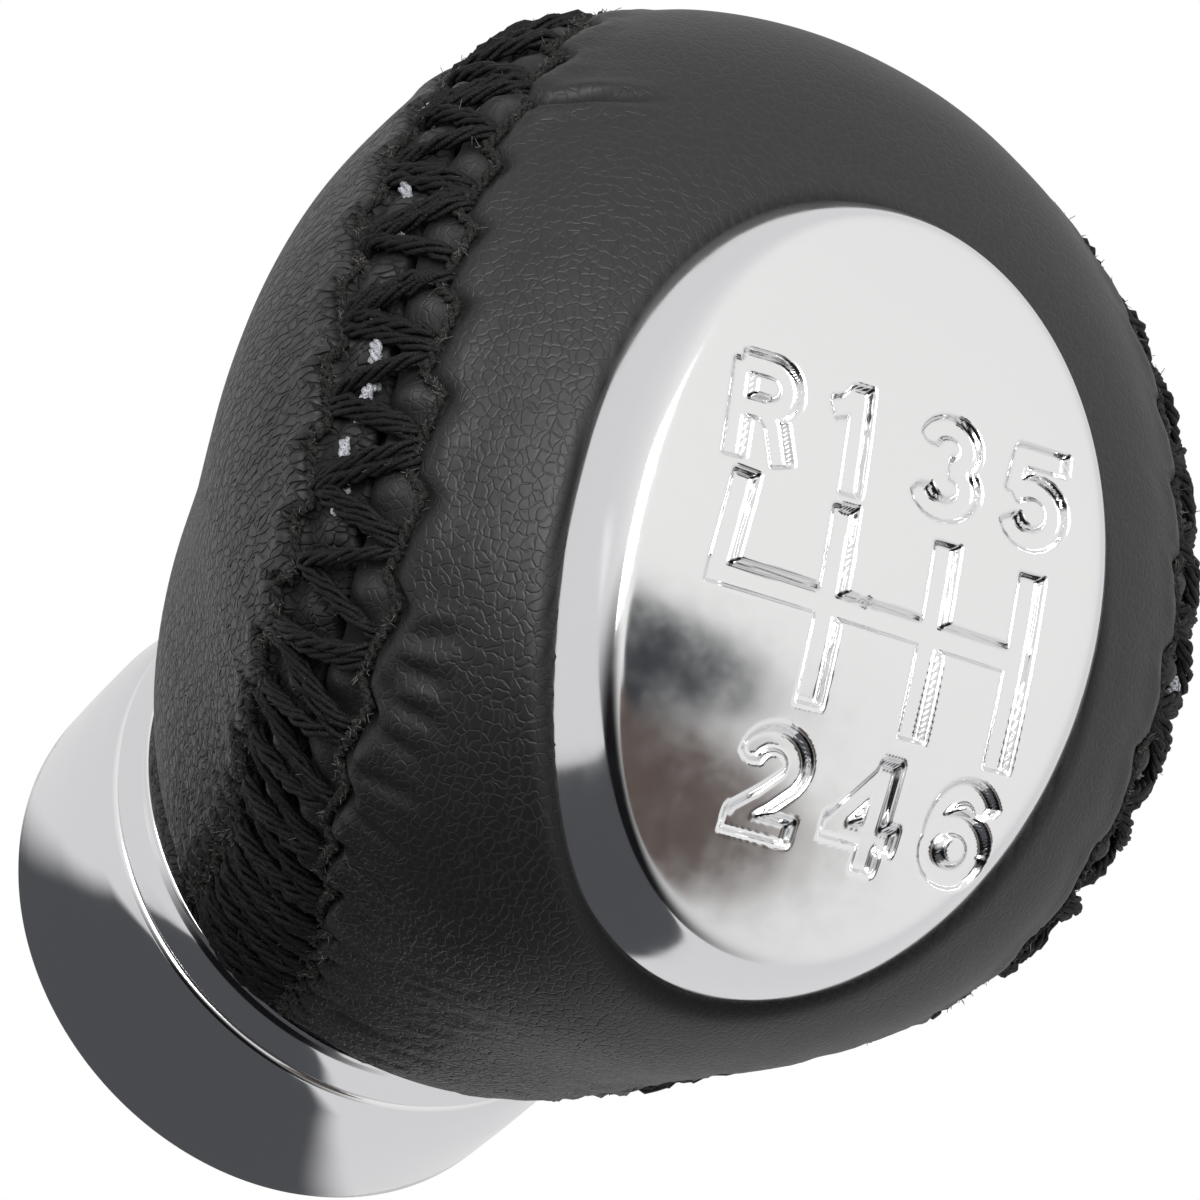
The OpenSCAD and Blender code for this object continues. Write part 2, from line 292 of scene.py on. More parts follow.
def add_node(tree: bpy.types.NodeTree, kind: str, inputs: dict = None, **settings) -> bpy.types.Node:
    """Adds a shader node with its settings and links.

    Args:
        tree: the material's node tree.
        kind: the node's type name.
        inputs: socket name or number to a value, or to an output socket to link.
        settings: attributes of the node.
    Returns:
        The new node.
    """
    node = tree.nodes.new(kind)
    for name, value in settings.items():
        setattr(node, name, value)
    for name, value in (inputs or {}).items():
        socket = node.inputs[name]
        if isinstance(value, bpy.types.NodeSocket):
            tree.links.new(value, socket)
        else:
            socket.default_value = value
    return node


def new_material(name: str) -> tuple:
    """Creates a material with an empty Principled shader.

    Args:
        name: the material's name.
    Returns:
        The material, its tree and its Principled node.
    """
    mat = bpy.data.materials.new(name)
    mat.use_nodes = True
    tree = mat.node_tree
    return mat, tree, tree.nodes["Principled BSDF"]


def millimetres(tree: bpy.types.NodeTree) -> bpy.types.NodeSocket:
    """Object coordinates in millimetres."""
    coords = add_node(tree, "ShaderNodeTexCoord")
    return add_node(tree, "ShaderNodeMapping", {"Vector": coords.outputs["Object"],
                                                "Scale": (1 / MM,) * 3}).outputs[0]


def ramp(tree: bpy.types.NodeTree, value: bpy.types.NodeSocket, stops: list) -> bpy.types.NodeSocket:
    """A colour ramp over a value, with stops of (place, hex colour)."""
    node = add_node(tree, "ShaderNodeValToRGB", {"Fac": value})
    band = node.color_ramp
    while len(band.elements) < len(stops):
        band.elements.new(0.5)
    for element, (place, colour) in zip(band.elements, stops):
        element.position = place
        element.color = linear(colour)
    return node.outputs["Color"]


@dataclass(frozen=True)
class GrainLeather:
    """Corrected grain leather, pigment coated: creases round small cells, which open where it is bent; its
    folds, grooves and holes are darkened with painted shade and some dirt.
    """
    name: str
    dark: str = "#0b0b0c"
    light: str = "#1e1e20"
    # deep: colour of the painted shade, with some dirt, in creases, grooves and holes
    deep: str = "#040404"
    cell: float = 0.62
    across: float = 0.75
    depth: float = 0.24
    roughness: float = 0.50

    def make(self) -> bpy.types.Material:
        """Builds the material on the panel's own map, which is laid out in millimetres."""
        mat, tree, shader = new_material(self.name)
        flat = add_node(tree, "ShaderNodeUVMap", uv_map="grain").outputs[0]
        where = add_node(tree, "ShaderNodeMapping", {"Vector": flat,
                                                     "Scale": (1.0 / self.across, 1.0, 1.0)}).outputs[0]
        bent = add_node(tree, "ShaderNodeAttribute", attribute_name="bent").outputs["Fac"]
        # darkening in creases, grooves and holes: painted shade, with some dirt
        dirt_and_shade = add_node(tree, "ShaderNodeAttribute", attribute_name="dirt_and_shade").outputs["Fac"]
        drift = add_node(tree, "ShaderNodeTexNoise", {"Vector": where, "Scale": 0.7 / self.cell,
                                                      "Detail": 1.0}, noise_dimensions="2D")
        warp = add_node(tree, "ShaderNodeVectorMath", {0: drift.outputs["Color"], 1: (1.1 * self.cell,) * 3,
                                                       2: where}, operation="MULTIPLY_ADD").outputs[0]
        cells = add_node(tree, "ShaderNodeTexVoronoi", {"Vector": warp, "Scale": 1 / self.cell},
                         voronoi_dimensions="2D", feature="DISTANCE_TO_EDGE").outputs["Distance"]
        crown = add_node(tree, "ShaderNodeMapRange", {"Value": cells, "From Max": 0.16},
                         interpolation_type="SMOOTHSTEP").outputs[0]
        grain = add_node(tree, "ShaderNodeMath", {0: drift.outputs["Fac"], 1: 0.9, 2: crown},
                         operation="MULTIPLY_ADD").outputs[0]
        opened = add_node(tree, "ShaderNodeMath", {0: grain, 1: bent}, operation="MULTIPLY").outputs[0]
        tint = ramp(tree, opened, [(0.0, self.light), (0.10, self.dark), (1.0, self.light)])
        # mixes the painted shade and dirt of the hollows into the colour
        tint = add_node(tree, "ShaderNodeMix", {0: dirt_and_shade, 6: tint, 7: linear(self.deep)},
                        data_type="RGBA").outputs[2]
        tree.links.new(tint, shader.inputs["Base Color"])
        rough = add_node(tree, "ShaderNodeMapRange", {"Value": dirt_and_shade, "To Min": self.roughness,
                                                      "To Max": 0.95})
        tree.links.new(rough.outputs[0], shader.inputs["Roughness"])
        bump = add_node(tree, "ShaderNodeBump", {"Height": opened, "Strength": 1.0,
                                                 "Distance": self.depth * MM})
        tree.links.new(bump.outputs[0], shader.inputs["Normal"])
        shader.inputs["IOR"].default_value = 1.52
        return mat


@dataclass(frozen=True)
class BrightPlating:
    """Chrome on polished metal: mirror like, with faint polishing haze."""
    name: str
    colour: str = "#e9e9ea"
    roughness: float = 0.07
    haze: float = 0.06

    def make(self) -> bpy.types.Material:
        """Builds the material."""
        mat, tree, shader = new_material(self.name)
        where = millimetres(tree)
        smear = add_node(tree, "ShaderNodeTexNoise", {"Vector": where, "Scale": 0.6, "Detail": 2.0,
                                                      "Roughness": 0.65})
        rough = add_node(tree, "ShaderNodeMapRange", {"Value": smear.outputs["Fac"], "From Min": 0.35,
                                                      "From Max": 0.75, "To Min": self.roughness,
                                                      "To Max": self.roughness + self.haze})
        tree.links.new(rough.outputs[0], shader.inputs["Roughness"])
        wave = add_node(tree, "ShaderNodeTexNoise", {"Vector": where, "Scale": 0.35, "Detail": 1.0})
        bump = add_node(tree, "ShaderNodeBump", {"Height": wave.outputs["Fac"], "Strength": 0.5,
                                                 "Distance": 0.02 * MM})
        tree.links.new(bump.outputs[0], shader.inputs["Normal"])
        shader.inputs["Base Color"].default_value = linear(self.colour)
        shader.inputs["Metallic"].default_value = 1.0
        return mat


@dataclass(frozen=True)
class WaxedThread:
    """Spun polyester thread, lightly waxed: dark matt fibres, with a dull gloss on the plies' crowns."""
    name: str
    dark: str = "#050506"
    light: str = "#151517"
    roughness: float = 0.62

    def make(self) -> bpy.types.Material:
        """Builds the material."""
        mat, tree, shader = new_material(self.name)
        fibre = add_node(tree, "ShaderNodeTexNoise", {"Vector": millimetres(tree), "Scale": 9.0,
                                                      "Detail": 1.0})
        tint = ramp(tree, fibre.outputs["Fac"], [(0.35, self.dark), (0.68, self.light)])
        tree.links.new(tint, shader.inputs["Base Color"])
        bump = add_node(tree, "ShaderNodeBump", {"Height": fibre.outputs["Fac"], "Strength": 1.0,
                                                 "Distance": 0.09 * MM})
        tree.links.new(bump.outputs[0], shader.inputs["Normal"])
        shader.inputs["Roughness"].default_value = self.roughness
        shader.inputs["Specular IOR Level"].default_value = 0.25
        return mat


@dataclass(frozen=True)
class LooseFibre:
    """Loose fibres worked out of the thread: pale grey painted in random patches, a painted highlight for
    single fibres catching the light.
    """
    name: str
    colour: str = "#777370"

    def make(self) -> bpy.types.Material:
        """Builds the material."""
        mat, tree, shader = new_material(self.name)
        patch = add_node(tree, "ShaderNodeTexNoise", {"Vector": millimetres(tree), "Scale": 1.2,
                                                      "Detail": 0.0})
        # painted highlight: random pale grey patches stand in for fibres catching the light
        tint = ramp(tree, patch.outputs["Fac"], [(0.40, "#1c1b1a"), (0.66, self.colour)])
        tree.links.new(tint, shader.inputs["Base Color"])
        shader.inputs["Roughness"].default_value = 0.8
        return mat


@dataclass(frozen=True)
class MouldedPlastic:
    """Glass filled nylon as moulded: dull black with a fine spark eroded texture."""
    name: str
    colour: str = "#222224"
    roughness: float = 0.6

    def make(self) -> bpy.types.Material:
        """Builds the material."""
        mat, tree, shader = new_material(self.name)
        speck = add_node(tree, "ShaderNodeTexNoise", {"Vector": millimetres(tree), "Scale": 4.0,
                                                      "Detail": 2.0})
        bump = add_node(tree, "ShaderNodeBump", {"Height": speck.outputs["Fac"], "Strength": 0.6,
                                                 "Distance": 0.03 * MM})
        tree.links.new(bump.outputs[0], shader.inputs["Normal"])
        shader.inputs["Base Color"].default_value = linear(self.colour)
        shader.inputs["Roughness"].default_value = self.roughness
        return mat


def finish_piece(name: str, mesh: bpy.types.Mesh, material: bpy.types.Material,
                 nodes: list) -> bpy.types.Object:
    """Links a finished mesh as a piece of the knob.

    Args:
        name: the piece's name.
        mesh: its mesh, in metres, in place.
        material: its material.
        nodes: CAD nodes that it stands for.
    Returns:
        The new object.
    """
    piece = bpy.data.objects.new(name, mesh)
    bpy.context.scene.collection.objects.link(piece)
    mesh.materials.clear()
    mesh.materials.append(material)
    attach(piece, "root")
    if nodes:
        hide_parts(*nodes)
    log.info("%s: %d faces", name, len(mesh.polygons))
    return piece


def grid_mesh(name: str, columns: int, rows: int, places: np.ndarray, merge: bool = False,
              maps: np.ndarray = None, layers: dict = None) -> bpy.types.Mesh:
    """A grid laid over a form.

    Args:
        name: the mesh's name.
        columns: faces along the first way.
        rows: faces along the second way.
        places: array of (rows + 1, columns + 1, 3) in millimetres.
        merge: joins points that fall together, at a pole or where the grid closes.
        maps: places of the same points on the leather laid flat, in millimetres.
        layers: attribute name to a value at each point.
    Returns:
        The mesh in metres, its faces outward from the head's middle.
    """
    bm = bmesh.new()
    bmesh.ops.create_grid(bm, x_segments=columns, y_segments=rows, size=0.5)
    bm.verts.ensure_lookup_table()
    ids = [(int(round((v.co.y + 0.5) * rows)), int(round((v.co.x + 0.5) * columns))) for v in bm.verts]
    if maps is not None:
        flat = bm.loops.layers.uv.new("grain")
        for face in bm.faces:
            for loop in face.loops:
                loop[flat].uv = maps[ids[loop.vert.index]]
    for word, values in (layers or {}).items():
        layer = bm.verts.layers.float.new(word)
        for v in bm.verts:
            v[layer] = values[ids[v.index]]
    for v in bm.verts:
        v.co = Vector(places[ids[v.index]]) * MM
    if merge:
        bmesh.ops.remove_doubles(bm, verts=bm.verts, dist=0.0005 * MM)
    bm.normal_update()
    middle = Vector(HeadForm().centre) * MM
    if sum(f.normal.dot(f.calc_center_median() - middle) for f in bm.faces) < 0:
        bmesh.ops.reverse_faces(bm, faces=bm.faces)
    mesh = bpy.data.meshes.new(name)
    bm.to_mesh(mesh)
    bm.free()
    mesh.shade_smooth()
    return mesh


def spun_mesh(name: str, profile: list, steps: int = 192) -> bpy.types.Mesh:
    """A ring turned from a closed profile of (radius, height) in millimetres."""
    bm = bmesh.new()
    verts = [bm.verts.new((r * MM, 0.0, z * MM)) for r, z in profile]
    edges = [bm.edges.new((verts[i], verts[(i + 1) % len(verts)])) for i in range(len(verts))]
    bmesh.ops.spin(bm, geom=verts + edges, cent=(0, 0, 0), axis=(0, 0, 1), angle=2 * math.pi, steps=steps,
                   use_merge=True, use_duplicate=False)
    bmesh.ops.remove_doubles(bm, verts=bm.verts, dist=0.0005 * MM)
    bmesh.ops.recalc_face_normals(bm, faces=bm.faces)
    for edge in bm.edges:
        edge.smooth = edge.calc_face_angle(0.0) < math.radians(35)
    mesh = bpy.data.meshes.new(name)
    bm.to_mesh(mesh)
    bm.free()
    mesh.shade_smooth()
    return mesh


@dataclass
class LaceGeometry:
    """Where the lacing holes and the edge threads lie beside a seam, in millimetres."""
    seam: Seam
    tip_w: float = 4.1
    strip_reach: float = -0.9
    strip_low: float = -0.4
    side_low: float = 0.8
    notch: float = 1.15
    notch_at: float = 0.80
    first_s: float = 10.0
    last_s: float = 134.0
    close_before: float = 24.0
    close_after: float = 112.0
    close_share: float = 0.55

    def holes(self) -> np.ndarray:
        """Lengths along the seam of the strip side's holes, closer together toward the neck."""
        places = [self.first_s]
        while places[-1] < self.last_s:
            near_neck = places[-1] < self.close_before or places[-1] > self.close_after
            places.append(places[-1] + self.seam.pitch * (self.close_share if near_neck else 1.0))
        return np.array(places)

    def saw(self, s: np.ndarray, panel: int) -> np.ndarray:
        """Distance of the edge thread from the seam's middle, a saw tooth with its tips at the holes."""
        holes = self.holes()
        i = np.clip(np.searchsorted(holes, s) - 1, 0, len(holes) - 2)
        f = (s - holes[i]) / (holes[i + 1] - holes[i])
        f = np.clip(f, 0, 1)
        depth = np.where(f < self.notch_at, f / self.notch_at, (1 - f) / (1 - self.notch_at))
        return self.reach(s, panel) - self.notch * depth

    def reach(self, s: np.ndarray, panel: int) -> np.ndarray:
        """Distance of the saw tooth's tips from the seam's middle: strip (1) or side panel (-1)."""
        lower = ease((s - 78.0) / 20.0)
        return self.tip_w + (self.strip_reach + (self.strip_low - self.strip_reach) * lower if panel > 0
                             else self.side_low * lower)


@dataclass(frozen=True)
class Fold:
    """A fold or crease pressed into the leather along a line seen in the picture."""
    pixels: tuple
    depth: float = 0.24
    width: float = 0.32
    # dark: how much painted shade darkens the crease
    dark: float = 0.4


# the last number of each listed fold is how dark its painted shade is
TOP_FOLDS = (Fold(((497, 114), (530, 107), (562, 101), (590, 97), (640, 98), (684, 101)), 0.50, 0.34, 0.95),
             Fold(((503, 97), (522, 92), (545, 91), (566, 93)), 0.30, 0.30, 0.7),
             Fold(((512, 104), (535, 100), (556, 98)), 0.22, 0.28, 0.5))
LOW_FOLDS = (Fold(((374, 729), (400, 745), (424, 767))), Fold(((355, 769), (395, 790), (435, 813))),
             Fold(((382, 686), (410, 676), (440, 676))), Fold(((397, 661), (425, 675), (454, 694))),
             Fold(((355, 813), (385, 840), (420, 867))), Fold(((412, 640), (440, 635), (470, 637))),
             Fold(((392, 700), (420, 715), (446, 738))), Fold(((345, 850), (372, 880), (405, 905))))


@dataclass
class LeatherWork:
    """How the leather is drawn, creased and puckered over the head."""
    form: HeadForm
    seams: dict
    view: ViewPoint
    noise: Unevenness = Unevenness(5)
    plate_place: tuple = (0.0, -10.432, 61.708)
    plate_tilt: float = 22.631
    plate_rim: tuple = (14.34, 20.0)

    def height(self, p: np.ndarray) -> tuple:
        """Height of the leather above the plain head, in millimetres, and how much painted shade, with some
        dirt, darkens its hollows.
        """
        h, dark = np.zeros(len(p)), np.zeros(len(p))
        for side, lace in self.seams.items():
            near = p[:, 0] * side.value > 2.0
            if near.any():
                rise, shade = self.beside_seam(p[near], lace)
                h[near] += rise
                dark[near] = np.maximum(dark[near], shade)
        for fold in TOP_FOLDS + LOW_FOLDS:
            rise, shade = self.fold(p, fold)
            h += rise
            dark = np.maximum(dark, shade)
        rise, shade = self.round_plate(p)
        return h + rise + 0.08 * self.noise.at(p / 7.0, 2), np.maximum(dark, shade)

    def round_plate(self, p: np.ndarray) -> tuple:
        """The leather's dip under the plate and its turned edge round it, with painted shade along the narrow
        gap at the plate's edge.
        """
        tilt = math.radians(self.plate_tilt)
        q = p - np.array(self.plate_place)
        t = q[:, 1] * math.cos(tilt) + q[:, 2] * math.sin(tilt)
        up = -q[:, 1] * math.sin(tilt) + q[:, 2] * math.cos(tilt)
        r = np.hypot(q[:, 0] / self.plate_rim[0], (t + 0.1) / self.plate_rim[1])
        front = up > -14.0
        rise = -0.9 * ease((0.985 - r) / 0.03) - 0.30 * np.exp(-((r - 1.0) / 0.014) ** 2)
        rise += 0.03 * np.exp(-((r - 1.055) / 0.03) ** 2)
        # the second value is painted shade: a dark line in the gap round the plate
        return rise * front, 0.95 * np.exp(-((r - 1.008) / 0.020) ** 2) * front

    def fold(self, p: np.ndarray, fold: Fold) -> tuple:
        """Height of one fold and the painted shade in its crease."""
        line = self.view.hit(self.form, fold.pixels)
        run = np.linspace(0, len(line) - 1, 40)
        line = np.stack([np.interp(run, np.arange(len(line)), line[:, i]) for i in range(3)], axis=-1)
        rise, shade = np.zeros(len(p)), np.zeros(len(p))
        near = np.linalg.norm(p - line.mean(axis=0), axis=1) < 12.0
        if not near.any():
            return rise, shade
        away = np.linalg.norm(p[near][:, None, :] - line[None, :, :], axis=2)
        place = np.argmin(away, axis=1) / (len(line) - 1)
        dist = away.min(axis=1)
        fade = ease(place / 0.12 + 0.35) * ease((1 - place) / 0.45)
        shoulder = 0.55 * np.exp(-((dist - 2.6 * fold.width) / (1.6 * fold.width)) ** 2)
        rise[near] = fold.depth * fade * (shoulder - np.exp(-(dist / fold.width) ** 2))
        # painted shade along the crease
        shade[near] = fold.dark * fade * np.exp(-(dist / (0.9 * fold.width)) ** 2)
        return rise, shade

    def beside_seam(self, p: np.ndarray, lace: LaceGeometry) -> tuple:
        """Height that the lacing gives the leather near one seam, and its darkening: painted shade, with some
        dirt, in the groove beside the edge thread and in the holes.
        """
        s, w = lace.seam.locate(p)
        holes = lace.holes()
        dist = np.abs(w) - np.where(w > 0, lace.saw(s, 1), lace.saw(s + 0.5 * lace.seam.pitch, -1))
        inside = ease(-dist / 0.7)
        on = ease((s - 4.0) / 4.0) * ease((140.0 - s) / 4.0)
        i = np.clip(np.searchsorted(holes, s), 1, len(holes) - 1)
        step = holes[i] - holes[i - 1]
        f = (s - holes[i - 1]) / step
        pucker = -np.cos(2 * np.pi * f) * np.exp(-np.clip(dist, 0, None) / 1.6) * ease((dist + 0.6) / 1.0)
        lower = ease((s - 88.0) / 22.0)
        nearest = np.minimum(f, 1 - f)
        cell = np.where(w > 0, nearest, 0.5 - nearest) * step
        pillow = np.exp(-(cell / 1.05) ** 2) * np.exp(-((np.abs(w) - 1.5) / 1.15) ** 2)
        rough = self.noise.at(np.stack([s / 1.3, w / 1.6, np.full_like(s, 3.0)], axis=-1), 2)
        folds = np.abs(self.noise.at(np.stack([s / 1.5 + 0.3 * w, w / 5.0, np.zeros_like(s)], axis=-1), 2))
        reach = np.exp(-np.clip(dist, 0, None) / (2.2 + 2.2 * lower)) * ease((dist - 0.2) / 0.8) * (dist > 0)
        side_share = np.where(w > 0, 1.0, 0.35)
        groove = np.exp(-((dist - 0.22) / 0.34) ** 2)
        h = on * (-0.62 * inside - 0.55 * groove + 0.16 * np.exp(-((dist - 1.3) / 0.7) ** 2) + 0.14 * pucker
                  + (0.75 * pillow + 0.22 * rough) * inside)
        h += on * (0.22 + 0.75 * lower) * (0.25 - folds) * reach * side_share
        hole = inside * (1 - 0.85 * pillow)
        # the second value is painted shade, with some dirt: a dark line in the groove beside the edge thread
        # and dark in the holes
        return h, on * np.maximum(0.95 * np.exp(-((dist - 0.3) / 0.3) ** 2), 0.75 * hole)

    def bent(self, p: np.ndarray, side_panel: bool) -> np.ndarray:
        """How far the grain's creases stand open: little on the stretched top, fully where it gathers."""
        up = (p[..., 2] - self.form.seat_z) / (64.7 - self.form.seat_z)
        if side_panel:
            return np.clip(1.15 - 0.45 * up, 0.0, 1.0)
        return np.clip(1.15 - 1.75 * up, 0.08, 1.0)

    def lay(self, p: np.ndarray) -> tuple:
        """Moves points of the plain head to the leather's surface, and says how much painted shade and dirt
        darkens each.
        """
        flat = p.reshape(-1, 3)
        on_top = flat[:, 2] > self.form.seat_z + 0.05
        h, dark = self.height(flat)
        h = h * ease((flat[:, 2] - self.form.seat_z) / 1.5)
        moved = flat + self.form.normal(flat) * (h * on_top)[:, None]
        return moved.reshape(p.shape), dark.reshape(p.shape[:2])


@dataclass
class LeatherHead:
    """The three leather panels: the middle strip and the two side panels."""
    form: HeadForm
    work: LeatherWork
    gap: float = 0.25
    thickness: float = 1.3
    side_columns: int = 360
    side_rows: int = 84
    strip_columns: int = 96
    strip_rows: int = 320

    def side_panel(self, side: Side) -> bpy.types.Mesh:
        """One side panel, from its pole out to the seam."""
        seam = self.work.seams[side].seam
        theta = np.linspace(0, 2 * np.pi, self.side_columns + 1)
        edge = seam.phi_at(theta) - self.gap / self.form.radius
        v = np.linspace(0, 1, self.side_rows + 1)[:, None]
        phi = edge[None, :] * v ** 0.92
        if side is Side.LEFT:
            phi = np.pi - phi
        around = np.broadcast_to(theta, phi.shape)
        p = self.form.polar(around, phi)
        out = self.form.radius * (phi if side is Side.RIGHT else np.pi - phi)
        maps = np.stack([out * np.cos(around), out * np.sin(around)], axis=-1)
        places, dark = self.work.lay(p)
        return grid_mesh(f"leather_{side.name.lower()}", self.side_columns, self.side_rows, places, True,
                         maps, {"bent": self.work.bent(p, True), "dirt_and_shade": dark})

    def strip(self) -> bpy.types.Mesh:
        """The middle strip, from the neck in front over the top to the neck behind."""
        seam = self.work.seams[Side.RIGHT].seam
        theta = np.radians(np.linspace(-125.0, -415.0, self.strip_rows + 1))[:, None]
        edge = seam.phi_at(theta) + self.gap / self.form.radius
        u = np.linspace(0, 1, self.strip_columns + 1)[None, :]
        phi = edge + (np.pi - 2 * edge) * u
        around = np.broadcast_to(theta, phi.shape)
        p = self.form.polar(around, phi)
        maps = self.form.radius * np.stack([phi - np.pi / 2, around], axis=-1)
        places, dark = self.work.lay(p)
        return grid_mesh("leather_strip", self.strip_columns, self.strip_rows, places, False, maps,
                         {"bent": self.work.bent(p, False), "dirt_and_shade": dark})

    def build(self, strip_leather: bpy.types.Material, side_leather: bpy.types.Material) -> None:
        """Makes the panels and gives them their thickness."""
        pieces = [finish_piece("strip_leather_cover", self.strip(), strip_leather,
                               ["leather_strip", "plate_pad"])]
        for side in Side:
            name = side.name.lower()
            pieces.append(finish_piece(f"side_leather_cover_{name}", self.side_panel(side), side_leather,
                                       [f"leather_{name}"]))
        for piece in pieces:
            wall = piece.modifiers.new("wall", "SOLIDIFY")
            wall.thickness = self.thickness * MM
            wall.offset = -1.0


def curve_mesh(name: str, curve: bpy.types.Curve) -> bpy.types.Mesh:
    """Turns a bevelled curve into a mesh and removes the curve."""
    holder = bpy.data.objects.new(name + "_curve", curve)
    bpy.context.scene.collection.objects.link(holder)
    mesh = bpy.data.meshes.new_from_object(holder.evaluated_get(bpy.context.evaluated_depsgraph_get()))
    mesh.name = name
    bpy.data.objects.remove(holder)
    bpy.data.curves.remove(curve)
    mesh.shade_smooth()
    return mesh


def cord_curve(name: str, runs: list, radius: float, plies: int = 3, lay: float = 2.4,
               resolution: int = 2, loose: float = 0.0, seed: int = 3) -> bpy.types.Mesh:
    """Twisted cords as plies wound round their paths.

    Args:
        name: the mesh's name.
        runs: paths, each an array of points and an array of surface normals, in millimetres.
        radius: the cord's radius.
        plies: plies to a cord.
        lay: length of one turn of the twist.
        resolution: roundness of a ply.
        loose: how unevenly the plies lie.
        seed: start of the unevenness.
    Returns:
        One mesh of all the plies, in metres.
    """
    rng = np.random.RandomState(seed)
    curve = bpy.data.curves.new(name, "CURVE")
    curve.dimensions = "3D"
    ply_r = radius / (1 + 1 / math.sin(math.pi / plies)) if plies > 1 else radius
    out_r = radius - ply_r
    curve.bevel_depth = ply_r * 1.12 * MM
    curve.bevel_resolution = resolution
    curve.use_fill_caps = True
    for points, normals in runs:
        along = unit(np.gradient(points, axis=0))
        side = unit(np.cross(along, normals))
        top = np.cross(side, along)
        run = np.concatenate([[0.0], np.cumsum(np.linalg.norm(np.diff(points, axis=0), axis=1))])
        phase = rng.uniform(0, 2 * np.pi)
        for ply in range(plies):
            turn = 2 * np.pi * (run / lay + ply / plies) + phase
            wander = out_r * (1 + loose * rng.uniform(-1, 1, len(run)))
            q = points + (side * np.cos(turn)[:, None] + top * np.sin(turn)[:, None]) * wander[:, None]
            spline = curve.splines.new("POLY")
            spline.points.add(len(q) - 1)
            spline.points.foreach_set("co", np.column_stack([q * MM, np.ones(len(q))]).ravel())
            spline.use_smooth = True
    return curve_mesh(name, curve)


# places in the picture where the pale basting thread shows between the strands
PALE_PLACES = ((429, 110), (407, 187), (401, 222), (373, 306), (376, 322), (376, 351), (367, 396), (359, 408),
               (344, 450), (337, 503))


